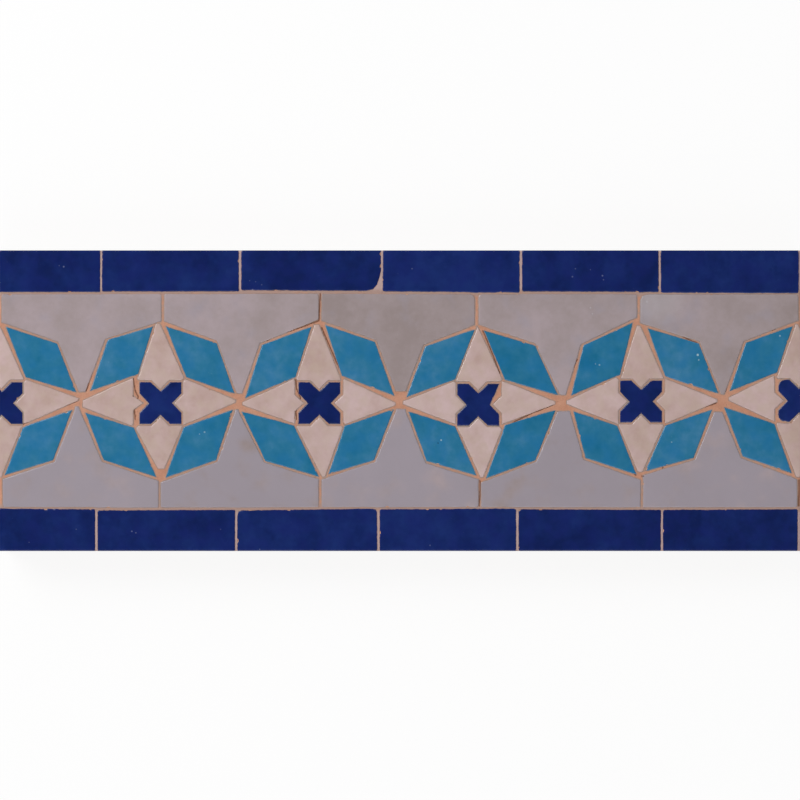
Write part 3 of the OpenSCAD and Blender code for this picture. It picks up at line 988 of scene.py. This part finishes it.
def mortar_material():
    """Sandy mortar: salmon in the joints with painted shade along the tiles, duller by the bars, brown
    in cracks, greyer at the back.
    """
    material, tree, shader = new_tree("sandy_mortar")
    clouds = sway(tree, *CLOUDS, 1.9, 3.0)
    sand = sway(tree, *SAND, 3.6, 3.0, 0.7)
    shade = maths(tree, "ADD", maths(tree, "ADD", clouds, sand), 0.5, clamp=True)
    joint = ramp(tree, shade, (0.0, JOINT_DARK), (0.5, JOINT_MIDDLE), (1.0, JOINT_LIGHT))
    ragged = sway(tree, *EDGE_SHADE_SWAY, 7.1, 3.0)
    # painted shade along the tiles' edges, fading out into unshaded mortar
    unshaded = step_up(tree, maths(tree, "ADD", attribute(tree, "near"), ragged), *EDGE_SHADE_STEP)
    joint = mixed(tree, unshaded, JOINT_EDGE_SHADE, joint)
    worn = step_up(tree, grain(tree, WORN_SIZE, 5.5), *WORN_STEP)
    joint = mixed(tree, maths(tree, "MULTIPLY", attribute(tree, "dull"), worn), joint, ROW_JOINT)
    joint = mixed(tree, attribute(tree, "pale"), joint, BAR_JOINT)
    cracked = step_up(tree, attribute(tree, "crack"), *CRACK_STEP)
    joint = mixed(tree, cracked, joint, CRACK_BROWN)

    bed = ramp(tree, shade, (BED_STOPS[0], BED_DARK), (BED_STOPS[1], BED_LIGHT))
    depth = maths(tree, "ADD", attribute(tree, "deep"), sway(tree, *DEEP_SWAY, 8.2, 3.0))
    depth = step_up(tree, depth, *DEEP_STEP)
    tree.links.new(mixed(tree, depth, joint, bed), shader.inputs["Base Color"])
    shader.inputs["Specular IOR Level"].default_value = MORTAR_SHINE
    dry = mixed_number(tree, grain(tree, DRY_SIZE, 6.6), *DRYNESS)
    tree.links.new(dry, shader.inputs["Roughness"])

    holes = step_up(tree, grain(tree, HOLE_SIZE, 2.4, 1.0), *HOLE_STEP)
    under = bump(tree, grain(tree, LUMP_SIZE, 7.9, 3.0), LUMP_HEIGHT)
    under = bump(tree, grain(tree, GRAIN_SIZE, 4.4), GRAIN_HEIGHT, under)
    under = bump(tree, holes, HOLE_DEPTH, under)
    tree.links.new(under, shader.inputs["Normal"])
    return material


def glaze_materials():
    """The four glazes, by the record's slot."""
    navy = glaze("navy_fired", colour(2, 25, 82), colour(8, 33, 94), colour(18, 42, 106),
                 tint=colour(16, 30, 104), speck_and_highlight=colour(120, 130, 170), pit=colour(8, 10, 30),
                 cloud=9.0, cloud_power=2.6)
    # this glaze's speck colour is also the colour of the painted highlights
    grey = glaze("grey_fired", colour(152, 138, 137), colour(162, 148, 149), colour(172, 157, 161),
                 tint=colour(158, 150, 160), speck_and_highlight=colour(205, 205, 215), pit=colour(96, 80, 76),
                 cloud=15.0, cloud_power=2.2, tint_power=0.8)
    blue = glaze("blue_fired", colour(20, 105, 141), colour(42, 116, 152), colour(68, 128, 166),
                 tint=colour(26, 112, 166), speck_and_highlight=colour(190, 215, 220), pit=colour(20, 50, 70),
                 cloud=8.0, mottle=2.2, mottle_power=0.4, tone_power=0.15)
    white = glaze("white_fired", colour(185, 158, 150), colour(195, 169, 165), colour(204, 179, 178),
                  tint=colour(193, 172, 157), speck_and_highlight=colour(226, 212, 204), pit=colour(130, 92, 76))
    return {"navy_glaze": navy, "grey_glaze": grey, "blue_glaze": blue, "white_glaze": white}


# The studio, in metres
FLOOR_SIZE = 8.0
FLOOR_COLOUR = colour(250, 250, 250)
FLOOR_ROUGHNESS = 0.9
FLOOR_GLOW = 0.88               # share of plain white that the floor shows
CAMERA_RISE = 1.5
SENSOR = 36.0
FILL = 1.0025                   # how much more than the picture's width the panel fills
LAMPS = [
    ("key", (-0.9, 0.7, 1.0), 0.9, 15.5),
    ("fill", (0.95, 0.7, 1.1), 1.0, 1.8),
    ("front", (0.0, -1.15, 1.05), 1.1, 7.5),
]
WORLD_STOPS = [(0.0, 0.95), (0.12, 0.9), (0.45, 0.4), (0.8, 0.16), (1.0, 0.12)]


def add_floor():
    """A wide pale floor: partly lit, so that it keeps the shadow, and partly plain white."""
    mesh = bpy.data.meshes.new("floor")
    half = FLOOR_SIZE / 2
    corners = [(-half, -half, 0), (half, -half, 0), (half, half, 0), (-half, half, 0)]
    mesh.from_pydata(corners, [], [(0, 1, 2, 3)])
    floor = bpy.data.objects.new("floor", mesh)
    bpy.context.scene.collection.objects.link(floor)
    material, tree, shader = new_tree("floor")
    shader.inputs["Base Color"].default_value = FLOOR_COLOUR
    shader.inputs["Roughness"].default_value = FLOOR_ROUGHNESS
    path = add(tree, "ShaderNodeLightPath").outputs
    seen = maths(tree, "ADD", path["Is Camera Ray"], path["Is Glossy Ray"])
    seen = maths(tree, "ADD", seen, path["Is Transmission Ray"], clamp=True)
    glow = add(tree, "ShaderNodeEmission", {"Color": (1, 1, 1, 1), "Strength": 1.0})
    share = maths(tree, "MULTIPLY", seen, FLOOR_GLOW)
    both = add(tree, "ShaderNodeMixShader", {0: share, 1: shader.outputs[0], 2: glow.outputs[0]})
    tree.links.new(both.outputs[0], tree.nodes["Material Output"].inputs["Surface"])
    mesh.materials.append(material)


def add_lamp(name, place, size, power):
    """A soft square lamp that faces the panel."""
    light = bpy.data.lights.new(name, "AREA")
    light.energy = power
    light.size = size
    lamp = bpy.data.objects.new(name, light)
    lamp.location = place
    lamp.rotation_euler = (-Vector(place)).to_track_quat("-Z", "Y").to_euler()
    bpy.context.scene.collection.objects.link(lamp)


def set_world():
    """A studio that is pale all round and darker overhead."""
    world = bpy.data.worlds.new("studio")
    world.use_nodes = True
    tree = world.node_tree
    heading = add(tree, "ShaderNodeTexCoord").outputs["Generated"]
    up = add(tree, "ShaderNodeSeparateXYZ", {"Vector": heading}).outputs["Z"]
    stops = [(height, (level, level, level, 1.0)) for height, level in WORLD_STOPS]
    tree.links.new(ramp(tree, up, *stops), tree.nodes["Background"].inputs["Color"])
    bpy.context.scene.world = world


def add_camera():
    """A camera straight above the panel, whose frame the panel's length fills."""
    lens = bpy.data.cameras.new("camera")
    lens.sensor_width = SENSOR
    lens.lens = FILL * SENSOR * CAMERA_RISE / (2 * HALF_LENGTH * MM)
    camera = bpy.data.objects.new("camera", lens)
    middle = spot(PHOTO_WIDTH / 2, PHOTO_WIDTH / 2)
    camera.location = (middle.x * MM, middle.y * MM, FACE_Z * MM + CAMERA_RISE)
    bpy.context.scene.collection.objects.link(camera)
    bpy.context.scene.camera = camera


def main():
    """Builds the studio and the finished panel."""
    add_camera()
    set_world()
    for lamp in LAMPS:
        add_lamp(*lamp)
    add_floor()
    outlines = build_tiles(glaze_materials())
    build_mortar(outlines, mortar_material())
    bpy.context.scene.view_settings.view_transform = "Standard"


main()
